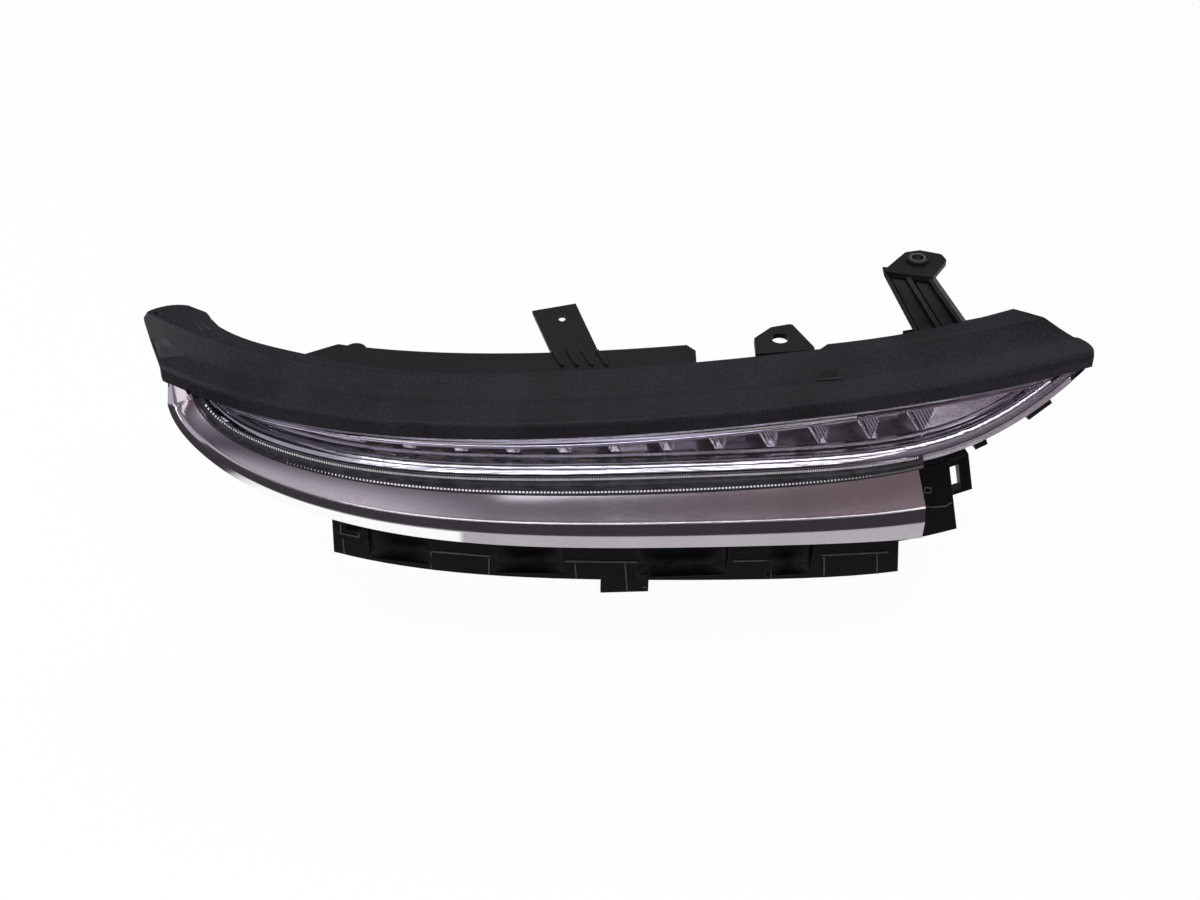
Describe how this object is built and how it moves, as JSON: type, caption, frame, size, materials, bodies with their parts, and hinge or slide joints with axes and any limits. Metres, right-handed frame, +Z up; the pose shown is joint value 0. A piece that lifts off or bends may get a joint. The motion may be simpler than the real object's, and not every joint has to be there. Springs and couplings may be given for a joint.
{
  "type": "daytime running light",
  "caption": "Curved daytime running light for a car's front corner: clear lens over slanted reflector cells, grained top cover, satin trim strip and a pocketed mounting bracket.",
  "frame": {"origin": "Middle of the locating hole in the centre tab, on the tab's upper face.", "axes": "+X runs along the lamp from the ear to the nose, the lens looks towards -Y and +Z is up."},
  "size_m": [0.4935, 0.1295, 0.133],
  "materials": {
    "housing_black": "moulded",
    "lens_clear": "clear polycarbonate",
    "seal_rubber": "matt",
    "bezel_bright": "bright metallised",
    "reflector_bright": "bright metallised",
    "board_white": "white solder resist",
    "led_yellow": "phosphor",
    "pad_grey": "matt",
    "spreader_metal": "plain",
    "board_green": "green solder resist",
    "parts_black": "moulded",
    "pin_brass": "tinned",
    "bush_steel": "dark plated",
    "cover_black": "fine grain",
    "trim_satin": "satin",
    "bracket_black": "moulded",
    "screw_steel": "zinc plated"
  },
  "bodies": {
    "root": {"rear_housing": "housing_black", "outer_lens": "lens_clear", "lens_seal": "seal_rubber", "inner_bezel": "bezel_bright", "reflector": "reflector_bright", "led_board": "board_white", "leds": "led_yellow", "thermal_pad": "pad_grey", "heat_spreader": "spreader_metal", "driver_board": "board_green", "driver_parts": "parts_black", "socket_pins": "pin_brass", "breather_caps": "seal_rubber", "arm_bush": "bush_steel", "top_cover": "cover_black", "trim_strip": "trim_satin", "lower_bracket": "bracket_black", "board_screws": "screw_steel", "reflector_screws": "screw_steel", "cover_screws": "screw_steel", "bracket_screws": "screw_steel"}
  },
  "joints": []
}
